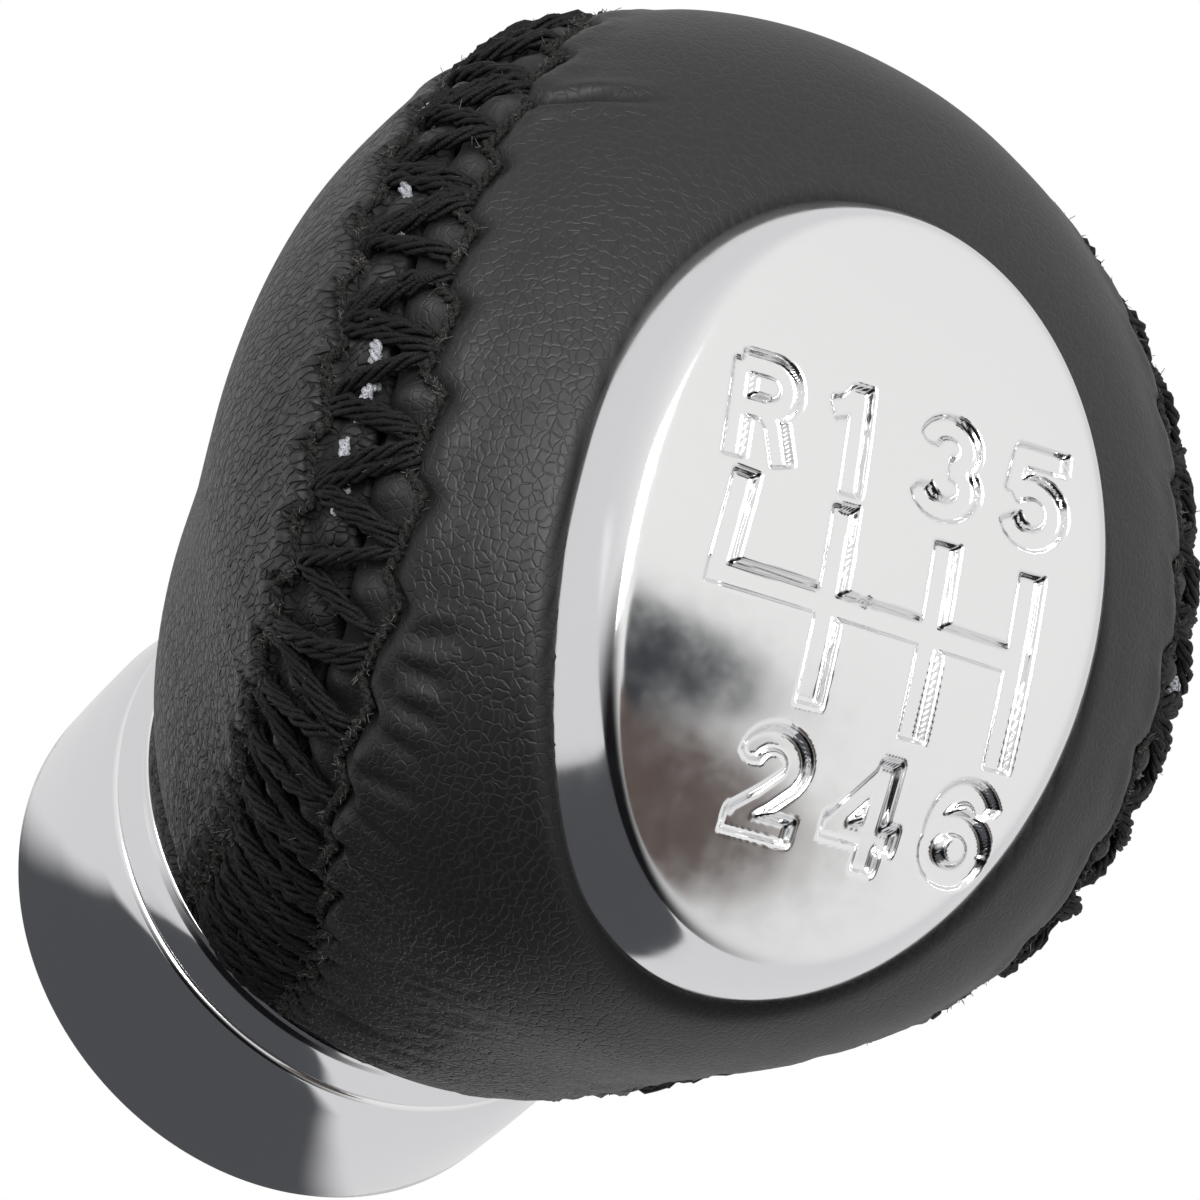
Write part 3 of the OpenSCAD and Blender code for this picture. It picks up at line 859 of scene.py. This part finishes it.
@dataclass
class Lacing:
    """The hand laced cord of one seam, with the threads along both leather edges."""
    lace: LaceGeometry
    view: ViewPoint
    cord_r: float = 0.42
    edge_r: float = 0.30
    basting_r: float = 0.3

    def strand(self, s0: float, w0: float, s1: float, w1: float, lift: float) -> tuple:
        """Path of a strand from one hole to another, arching over the gap and diving at its ends."""
        u = np.linspace(0, 1, 15)
        s = s0 + (s1 - s0) * u
        w = w0 + (w1 - w0) * u
        h = lift * np.sin(np.pi * u) ** 0.6 + 0.05 - 0.9 * np.exp(-u / 0.06) - 0.9 * np.exp(-(1 - u) / 0.06)
        p = self.lace.seam.place(s, w, h)
        return p, self.lace.seam.form.normal(p)

    def strands(self) -> list:
        """All strands, from each strip hole to the two nearest side panel holes, some of them doubled."""
        rng = np.random.RandomState(12)
        holes = self.lace.holes()
        runs = []
        for i in range(len(holes) - 1):
            step = holes[i + 1] - holes[i]
            top = holes[i] + 0.5 * step
            for k, end in enumerate((holes[i], holes[i + 1])):
                for twin in range(2 if rng.uniform() < 0.55 else 1):
                    jitter = rng.uniform(-0.25, 0.25, 4) + 0.45 * twin
                    s_top, s_end = top + 0.3 * (1 if k else -1) + jitter[0], end + jitter[2]
                    w_top = float(self.lace.reach(s_top, 1)) - 0.75 + 0.6 * jitter[1]
                    w_end = -float(self.lace.reach(s_end, -1)) + 0.9 - 0.6 * jitter[3]
                    runs.append(self.strand(s_top, w_top, s_end, w_end, 0.10 + 0.16 * k - 0.10 * twin))
        return runs

    def edge(self, panel: int) -> np.ndarray:
        """Path of an edge thread along the saw tooth edge of one panel."""
        s = np.arange(self.lace.first_s, self.lace.last_s, 0.2)
        w = self.lace.saw(s if panel > 0 else s + 0.5 * self.lace.seam.pitch, panel) * panel
        return self.lace.seam.place(s, w, np.full_like(s, -0.12))

    def basting(self) -> np.ndarray:
        """Path of the pale thread: it comes up where it shows in the picture and lies deep elsewhere."""
        seen = self.view.hit(self.lace.seam.form, PALE_PLACES)
        seen[:, 0] = np.abs(seen[:, 0]) * self.lace.seam.side.value
        s_seen, w_seen = self.lace.seam.locate(seen)
        order = np.argsort(s_seen)
        s = np.arange(s_seen.min() - 3.0, s_seen.max() + 3.0, 0.15)
        w = np.interp(s, s_seen[order], w_seen[order])
        up = np.exp(-(np.abs(s[:, None] - s_seen[None, :]).min(axis=1) / 0.75) ** 4)
        return self.lace.seam.place(s, w, -1.1 + 1.15 * up)

    def lint(self, name: str, roots: np.ndarray, count: int, size: float,
             thick: float = 0.018) -> bpy.types.Mesh:
        """Loose fibres that stand off a thread.

        Args:
            name: the mesh's name.
            roots: points that the fibres grow from, in millimetres.
            count: number of fibres.
            size: length of a fibre.
            thick: radius of a fibre, drawn a little thicker than the real one so that it shows.
        Returns:
            The fibres as one mesh, in metres.
        """
        rng = np.random.RandomState(count + 5)
        curve = bpy.data.curves.new(name, "CURVE")
        curve.dimensions = "3D"
        curve.bevel_depth = thick * MM
        curve.bevel_resolution = 0
        pick = roots[rng.randint(0, len(roots), count)]
        up = self.lace.seam.form.normal(pick)
        for root, top in zip(pick, up):
            way = rng.normal(size=3)
            way = unit(way - 0.6 * way.dot(top) * top + 0.1 * top)
            bend = rng.normal(size=3) * 0.45
            length = size * rng.uniform(0.4, 1.2)
            start = root + 0.24 * unit(rng.normal(size=3) + 0.9 * top)
            u = np.linspace(0, 1, 3)[:, None]
            q = start + (way * u + bend * u ** 2) * length
            spline = curve.splines.new("POLY")
            spline.points.add(2)
            spline.points.foreach_set("co", np.column_stack([q * MM, np.ones(3)]).ravel())
        return curve_mesh(name, curve)

    def build(self, cord: bpy.types.Material, edge: bpy.types.Material, pale: bpy.types.Material,
              fibre: bpy.types.Material) -> None:
        """Makes the cords of this seam and their loose fibres."""
        side = self.lace.seam.side.name.lower()
        form = self.lace.seam.form
        runs = self.strands()
        mesh = cord_curve(f"lacing_{side}", runs, self.cord_r, plies=5, lay=5.5, resolution=1, loose=0.5)
        finish_piece(f"laced_cord_{side}", mesh, cord, [f"lacing_{side}"])
        roots = [p[2:-2] for p, _ in runs]
        for panel, word in ((1, "strip"), (-1, "side")):
            p = self.edge(panel)
            mesh = cord_curve(f"edge_{side}_{word}", [(p, form.normal(p))], self.edge_r, plies=2, lay=1.1,
                              resolution=1, loose=0.5)
            finish_piece(f"edge_stitch_{side}_{word}", mesh, edge,
                         [f"edge_thread_{side}_{word}"])
            mesh = self.lint(f"edge_lint_{side}_{word}", p, 2400, 0.30)
            finish_piece(f"edge_lint_{side}_{word}", mesh, fibre, [])
        mesh = self.lint(f"cord_lint_{side}", np.concatenate(roots), 800, 0.45)
        finish_piece(f"cord_lint_{side}", mesh, fibre, [])
        p = self.basting()
        mesh = cord_curve(f"basting_{side}", [(p, form.normal(p))], self.basting_r, plies=3, lay=1.2,
                          resolution=1, loose=0.6)
        finish_piece(f"basting_stitch_{side}", mesh, pale, [f"basting_{side}"])


def sweep(cx: float, cy: float, rx: float, ry: float, first: float, last: float, steps: int = 14) -> list:
    """Points of an elliptic arc, angles in degrees."""
    angles = np.radians(np.linspace(first, last, steps + 1))
    return [(cx + rx * math.cos(a), cy + ry * math.sin(a)) for a in angles]


class Glyph(Enum):
    """Centre lines of the gear numerals, in millimetres about their middle."""
    REVERSE = ([(-1.1, -2.5), (-1.1, 1.92)], [(-1.1, 1.92), (0.3, 1.92)] + sweep(0.35, 0.92, 0.98, 1.0, 90, -90)
               + [(-1.1, -0.08)], [(0.25, -0.1), (0.75, -0.7), (1.3, -2.45)])
    FIRST = ([(0.3, -2.5), (0.3, 2.45)], [(-1.0, 1.25), (-0.35, 1.5), (0.2, 2.1)])
    THIRD = (sweep(-0.02, 0.98, 1.08, 0.98, 165, -75), sweep(-0.05, -0.92, 1.25, 1.02, 75, -165))
    FIFTH = ([(1.45, 1.92), (-0.8, 1.92), (-1.05, 0.1)],
             [(-1.05, 0.1)] + sweep(0.0, -0.72, 1.25, 1.22, 125, -160))
    SECOND = (sweep(0.0, 0.85, 1.2, 1.1, 170, -35) + [(0.1, -0.75), (-1.05, -1.75)],
              [(-1.55, -1.95), (1.6, -1.95)])
    FOURTH = ([(0.55, -2.5), (0.55, 2.3)], [(0.5, 1.75), (-1.35, -0.85)], [(-1.85, -1.0), (1.6, -1.0)])
    SIXTH = (sweep(0.0, -0.75, 1.2, 1.2, 0, 360, 24), sweep(0.12, -0.1, 1.3, 2.05, 40, 185))


GEAR_PLACES = {Glyph.REVERSE: (-7.33, 6.62), Glyph.FIRST: (-2.53, 6.58), Glyph.THIRD: (2.78, 6.87),
               Glyph.FIFTH: (7.65, 7.0), Glyph.SECOND: (-1.96, -10.33), Glyph.FOURTH: (3.34, -10.14),
               Glyph.SIXTH: (8.26, -9.67)}


@dataclass
class PatternPlate:
    """The bright plate with its recessed shift pattern, in its own tilted frame, in millimetres."""
    origin: tuple = (0.0, -10.432, 61.708)
    tilt: float = 22.631
    rim: tuple = (14.34, 20.0)
    face_edge: tuple = (12.40, 18.76)
    body: tuple = (15.15, 19.88, 14.56)
    sink: float = 5.74
    face: tuple = (3.061, 0.0029, 0.0106, 0.0101)
    depth: float = 0.5
    stroke: float = 1.35
    lean: float = 3.6
    glyph_scale: float = 1.06
    glyph_half: float = 0.44
    glyph_round: float = 0.12
    gate_columns: tuple = (-7.45, -2.05, 3.55, 8.35)
    gate_rows: tuple = (3.0, -1.45, -6.0)
    gate_lean: float = 0.077
    columns_face: int = 190
    rows_face: int = 250
    flank_rings: int = 18

    def lines(self, n_face: int) -> np.ndarray:
        """Grid line places from -1 to 1, with the face's edge at a line and the rest on the flank."""
        inner = np.linspace(-0.85, 0.85, n_face + 1)
        outer = 0.85 + 0.15 * np.linspace(0, 1, self.flank_rings + 1)[1:]
        return np.concatenate([-outer[::-1], inner, outer])

    def build(self, plating: bpy.types.Material) -> None:
        """Makes the plate."""
        u = self.lines(self.columns_face)
        v = self.lines(self.rows_face)
        uu, vv = np.meshgrid(u, v)
        r = np.maximum(np.abs(uu), np.abs(vv))
        wide = np.abs(uu) >= np.abs(vv)
        safe_u = np.where(wide, np.where(uu == 0, 1.0, uu), 1.0)
        safe_v = np.where(wide, 1.0, np.where(vv == 0, 1.0, vv))
        ang_w = np.pi / 4 * vv / safe_u
        ang_t = np.pi / 2 - np.pi / 4 * uu / safe_v
        ex = np.where(wide, uu * np.cos(ang_w), vv * np.cos(ang_t)) / np.maximum(r, 1e-9)
        ey = np.where(wide, uu * np.sin(ang_w), vv * np.sin(ang_t)) / np.maximum(r, 1e-9)
        t_face = np.clip(r / 0.85, 0, 1)
        t_flank = np.clip((r - 0.85) / 0.15, 0, 1)
        steep = np.sin(t_flank * np.pi / 2)
        a = self.face_edge[0] * t_face + (self.rim[0] + 0.45 - self.face_edge[0]) * steep
        b = self.face_edge[1] * t_face + (self.rim[1] - 0.15 - self.face_edge[1]) * steep
        s, t = a * ex, b * ey - 0.22 * (1 - t_flank)
        top = self.face[0] - self.face[1] * s ** 2 - self.face[2] * t ** 2 - self.face[3] * t
        bell = np.sqrt(np.maximum(0.0, 1 - (s / self.body[0]) ** 2 - (t / self.body[1]) ** 2))
        flank = -self.sink + self.body[2] * bell
        soft = 0.25
        gap = (flank - top) / soft
        blend = np.exp(-np.clip(top, -9, 9) / soft) + np.exp(-np.clip(flank, -9, 9) / soft)
        h = np.where(gap > 30, top, np.where(gap < -30, flank, -soft * np.log(blend)))
        h = h - self.depth * ease((0.12 - self.marks(s, t)) / 0.36)
        h = h - 1.2 * ease((r - 0.985) / 0.015)
        beta = math.radians(self.tilt)
        p = np.stack([s, self.origin[1] + t * math.cos(beta) - h * math.sin(beta),
                      self.origin[2] + t * math.sin(beta) + h * math.cos(beta)], axis=-1)
        mesh = grid_mesh("pattern_plate", len(u) - 1, len(v) - 1, p)
        finish_piece("pattern_plate", mesh, plating, ["plate"])

    def marks(self, s: np.ndarray, t: np.ndarray) -> np.ndarray:
        """Signed distance to the recessed strokes and numerals, negative inside."""
        return np.minimum(self.gates(s, t), self.numerals(s, t))

    def bar(self, s: np.ndarray, t: np.ndarray, a: tuple, b: tuple, half: float, over: float) -> np.ndarray:
        """Signed distance to a straight stroke from a to b with square ends."""
        d = np.array(b, float) - np.array(a, float)
        size = np.linalg.norm(d)
        d = d / max(size, 1e-9)
        x = (s - a[0]) * d[0] + (t - a[1]) * d[1] - size / 2
        y = -(s - a[0]) * d[1] + (t - a[1]) * d[0]
        dx = np.abs(x) - size / 2 - over
        dy = np.abs(y) - half
        return np.minimum(np.maximum(dx, dy), 0) + np.hypot(np.maximum(dx, 0), np.maximum(dy, 0))

    def gates(self, s: np.ndarray, t: np.ndarray) -> np.ndarray:
        """Signed distance to the shift gate lines."""
        half = self.stroke / 2
        top, middle, low = self.gate_rows
        first, *others = self.gate_columns
        out = self.bar(s, t, (first, top), (first - 0.1, middle), half, half * 0.5)
        for column in others:
            foot = (column + self.gate_lean * (top - low), low)
            out = np.minimum(out, self.bar(s, t, (column, top), foot, half, half * 0.5))
        cross = self.bar(s, t, (first - 0.1, middle - 0.2), (others[-1], middle + 0.45), half, half)
        return np.minimum(out, cross)

    def numerals(self, s: np.ndarray, t: np.ndarray) -> np.ndarray:
        """Signed distance to the gear numerals."""
        out = np.full_like(s, 9.0)
        lean = math.radians(self.lean)
        for glyph, (cx, cy) in GEAR_PLACES.items():
            x = ((s - cx) * math.cos(lean) + (t - cy) * math.sin(lean)) / self.glyph_scale
            y = (-(s - cx) * math.sin(lean) + (t - cy) * math.cos(lean)) / self.glyph_scale
            near = np.hypot(x, y) < 4.5
            d = np.full(near.sum(), 9.0)
            for path in glyph.value:
                for start, end in zip(path[:-1], path[1:]):
                    d = np.minimum(d, self.bar(x[near], y[near], start, end, self.glyph_half, 0.0))
                for joint in path[1:-1]:
                    d = np.minimum(d, np.hypot(x[near] - joint[0], y[near] - joint[1]) - self.glyph_half)
            out[near] = np.minimum(out[near], (d - self.glyph_round) * self.glyph_scale)
        return out


@dataclass
class BrightNeck:
    """The three bright rings of the neck, in millimetres."""
    foot_r: float = 15.95
    crease_r: float = 15.5
    skirt_h: float = 11.2
    wall: float = 1.5
    bore: float = 12.5

    def build(self, plating: bpy.types.Material) -> None:
        """Makes the rings."""
        foot, top, h = self.foot_r, self.crease_r, self.skirt_h
        skirt = [(foot - self.wall, 0.0), (foot - 0.45, 0.0), (foot - 0.13, 0.12), (foot, 0.4)]
        skirt += [(foot + 0.09 * math.sin(math.pi * k / 8) - (foot - top) * max(0, k - 5) / 3 * 0.75,
                   0.4 + (h - 0.8) * k / 8) for k in range(1, 8)]
        skirt += [(top + 0.02, h - 0.32), (top - 0.12, h - 0.1), (top - 0.35, h), (self.bore, h),
                  (self.bore, h - self.wall), (foot - self.wall, h - self.wall)]
        finish_piece("neck_skirt", spun_mesh("neck_skirt", skirt), plating, ["skirt"])
        z = h + 0.12
        band = [(self.bore, z), (top - 0.4, z), (top - 0.2, z + 0.08), (top - 0.1, z + 0.25),
                (top - 0.3, z + 1.0), (top - 0.6, z + 1.7), (14.72, z + 2.05), (14.6, z + 2.16),
                (14.45, z + 2.2), (self.bore, z + 2.2)]
        finish_piece("neck_band", spun_mesh("neck_band", band), plating, ["band_ring"])
        z = h + 0.12 + 2.2 + 0.12
        lip = [(self.bore, z), (14.8, z), (14.92, z + 0.06), (14.97, z + 0.2), (14.92, z + 0.36),
               (14.8, z + 0.44), (self.bore, z + 0.45)]
        finish_piece("neck_lip", spun_mesh("neck_lip", lip), plating, ["lip_ring"])


@dataclass
class Studio:
    """Pale floor, white surroundings and soft lamps, with reflections painted into the floor and the
    surroundings.
    """
    floor_side: float = 3.0
    room_light: float = 0.35
    # painted reflections seen only by glossy rays: azimuth, height, core and reach in degrees, and colour
    painted_reflections: tuple = ((-155, 10, 22, 58, "#141416"), (161, 47, 10, 12.5, "#5c504b"), (150, 61, 5, 8, "#33373c"),
                      (-88, -8, 6, 14, "#ffffff"))

    def build(self) -> None:
        """Makes the floor, the lamps and the world."""
        bm = bmesh.new()
        bmesh.ops.create_grid(bm, x_segments=1, y_segments=1, size=self.floor_side / 2)
        mesh = bpy.data.meshes.new("floor")
        bm.to_mesh(mesh)
        bm.free()
        floor = bpy.data.objects.new("floor", mesh)
        bpy.context.scene.collection.objects.link(floor)
        mat, tree, shader = new_material("pale_floor")
        shader.inputs["Base Color"].default_value = linear("#e8e8e8")
        shader.inputs["Roughness"].default_value = 0.9
        self.dress_floor(tree, shader)
        mat.cycles.emission_sampling = "NONE"
        mesh.materials.append(mat)
        self.dress_world()
        self.lamp("key", (-0.42, -0.12, 1.0), 0.7, 11.0, True)
        self.lamp("fill", (0.7, -0.6, 0.7), 0.8, 3.0, False)
        bpy.context.scene.view_settings.view_transform = "Standard"

    def dress_floor(self, tree: bpy.types.NodeTree, shader: bpy.types.Node) -> None:
        """White to the camera, glowing for glossy rays with a painted reflection of shade, a dark corner and
        ring beside the knob, and pale to the light.
        """
        where = add_node(tree, "ShaderNodeSeparateXYZ", {0: millimetres(tree)})
        x, y = where.outputs["X"], where.outputs["Y"]
        right = add_node(tree, "ShaderNodeMapRange", {"Value": x, "From Min": 6.5, "From Max": 2.5},
                         interpolation_type="SMOOTHSTEP").outputs[0]
        slant = add_node(tree, "ShaderNodeMath", {0: x, 1: -0.85}, operation="MULTIPLY").outputs[0]
        slant = add_node(tree, "ShaderNodeMath", {0: slant, 1: y}, operation="ADD").outputs[0]
        left = add_node(tree, "ShaderNodeMapRange", {"Value": slant, "From Min": 17.0, "From Max": 12.0},
                        interpolation_type="SMOOTHSTEP").outputs[0]
        dark = add_node(tree, "ShaderNodeMath", {0: right, 1: left}, operation="MULTIPLY").outputs[0]
        away = add_node(tree, "ShaderNodeVectorMath", {0: millimetres(tree)},
                        operation="LENGTH").outputs["Value"]
        ring = add_node(tree, "ShaderNodeMapRange", {"Value": away, "From Min": 34.0, "From Max": 60.0},
                        interpolation_type="SMOOTHSTEP").outputs[0]
        front = add_node(tree, "ShaderNodeMapRange", {"Value": slant, "From Min": 30.0, "From Max": -20.0},
                         interpolation_type="SMOOTHSTEP").outputs[0]
        ring = add_node(tree, "ShaderNodeMath", {0: ring, 1: front}, operation="MULTIPLY").outputs[0]
        near = add_node(tree, "ShaderNodeMapRange", {"Value": x, "From Min": 8.0, "From Max": -18.0},
                        interpolation_type="SMOOTHSTEP").outputs[0]
        ring = add_node(tree, "ShaderNodeMath", {0: ring, 1: near}, operation="MULTIPLY").outputs[0]
        dark = add_node(tree, "ShaderNodeMath", {0: dark, 1: ring}, operation="MAXIMUM").outputs[0]
        # painted reflection of shade: what reflections see of the floor glows light grey, darker in the corner
        # and ring beside the knob
        tone = ramp(tree, dark, [(0.0, "#e2e2e3"), (1.0, "#515255")])
        mirror = add_node(tree, "ShaderNodeEmission", {"Color": tone, "Strength": 1.0})
        white = add_node(tree, "ShaderNodeEmission", {"Color": (1, 1, 1, 1), "Strength": 1.0})
        seen = add_node(tree, "ShaderNodeLightPath")
        first = add_node(tree, "ShaderNodeMixShader", {0: seen.outputs["Is Glossy Ray"],
                                                       1: shader.outputs[0], 2: mirror.outputs[0]})
        last = add_node(tree, "ShaderNodeMixShader", {0: seen.outputs["Is Camera Ray"], 1: first.outputs[0],
                                                      2: white.outputs[0]})
        tree.links.new(last.outputs[0], tree.nodes["Material Output"].inputs["Surface"])

    def dress_world(self) -> None:
        """A white room: plain for light, while glossy rays see painted reflections: lighter upward, with dark,
        brown and white spots that light nothing.
        """
        world = bpy.data.worlds.new("studio")
        world.use_nodes = True
        bpy.context.scene.world = world
        world.cycles.sampling_method = "NONE"
        tree = world.node_tree
        plain = tree.nodes["Background"]
        plain.inputs["Strength"].default_value = self.room_light
        way = add_node(tree, "ShaderNodeTexCoord").outputs["Generated"]
        tone = ramp(tree, add_node(tree, "ShaderNodeSeparateXYZ", {0: way}).outputs["Z"],
                    [(0.0, "#e4e4e6"), (0.6, "#f6f6f5"), (1.0, "#fbfbf9")])
        for azimuth, height, core, reach, colour in self.painted_reflections:
            a, e = math.radians(azimuth), math.radians(height)
            aim = (math.sin(a) * math.cos(e), math.cos(a) * math.cos(e), math.sin(e))
            close = add_node(tree, "ShaderNodeVectorMath", {0: way, 1: aim},
                             operation="DOT_PRODUCT").outputs["Value"]
            inside = add_node(tree, "ShaderNodeMapRange", {"Value": close,
                                                          "From Min": math.cos(math.radians(reach)),
                                                          "From Max": math.cos(math.radians(core))},
                              interpolation_type="SMOOTHSTEP").outputs[0]
            tone = add_node(tree, "ShaderNodeMix", {0: inside, 6: tone, 7: linear(colour)},
                            data_type="RGBA").outputs[2]
        # painted reflection: glossy rays see this in place of the plain room
        mirror = add_node(tree, "ShaderNodeBackground", {"Color": tone, "Strength": 1.0})
        white = add_node(tree, "ShaderNodeBackground", {"Color": (1, 1, 1, 1), "Strength": 1.0})
        seen = add_node(tree, "ShaderNodeLightPath")
        first = add_node(tree, "ShaderNodeMixShader", {0: seen.outputs["Is Glossy Ray"], 1: plain.outputs[0],
                                                       2: mirror.outputs[0]})
        last = add_node(tree, "ShaderNodeMixShader", {0: seen.outputs["Is Camera Ray"], 1: first.outputs[0],
                                                      2: white.outputs[0]})
        tree.links.new(last.outputs[0], tree.nodes["World Output"].inputs["Surface"])

    def lamp(self, name: str, place: tuple, size: float, power: float, mirrored: bool) -> None:
        """One square soft lamp aimed at the head."""
        data = bpy.data.lights.new(name, "AREA")
        data.shape = "SQUARE"
        data.size = size
        data.energy = power
        lamp = bpy.data.objects.new(name, data)
        lamp.visible_glossy = mirrored
        aim = Vector((0, 0, 0.035)) - Vector(place)
        lamp.matrix_world = Matrix.Translation(place) @ aim.to_track_quat("-Z", "Y").to_matrix().to_4x4()
        bpy.context.scene.collection.objects.link(lamp)


def main() -> None:
    """Builds the knob, the studio and the camera."""
    form = HeadForm()
    view = ViewPoint()
    view.make()
    laces = {side: LaceGeometry(Seam(form, side)) for side in Side}
    work = LeatherWork(form, laces, view)
    plating = BrightPlating("neck_plating").make()
    LeatherHead(form, work).build(GrainLeather("strip_grain").make(),
                                  GrainLeather("side_grain", "#0c0c0d", "#29292b", cell=0.85, across=0.55,
                                               depth=0.32).make())
    cord = WaxedThread("waxed_lacing").make()
    edge = WaxedThread("worn_edge_thread", "#0e0e0d", "#3a3937", 0.8).make()
    pale = WaxedThread("pale_thread", "#8e9096", "#e6e8ee", 0.5).make()
    fibre = LooseFibre("loose_fibre").make()
    for side in Side:
        Lacing(laces[side], view).build(cord, edge, pale, fibre)
    PatternPlate().build(BrightPlating("plate_plating", roughness=0.1).make())
    BrightNeck().build(plating)
    plastic = MouldedPlastic("core_plastic").make()
    for name in ("core", "neck_tube"):
        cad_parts[name].data.materials.clear()
        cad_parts[name].data.materials.append(plastic)
    brass = BrightPlating("turned_brass", "#b59a5c", 0.25).make()
    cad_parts["insert"].data.materials.clear()
    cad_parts["insert"].data.materials.append(brass)
    Studio().build()


if __name__ == "__main__":
    main()
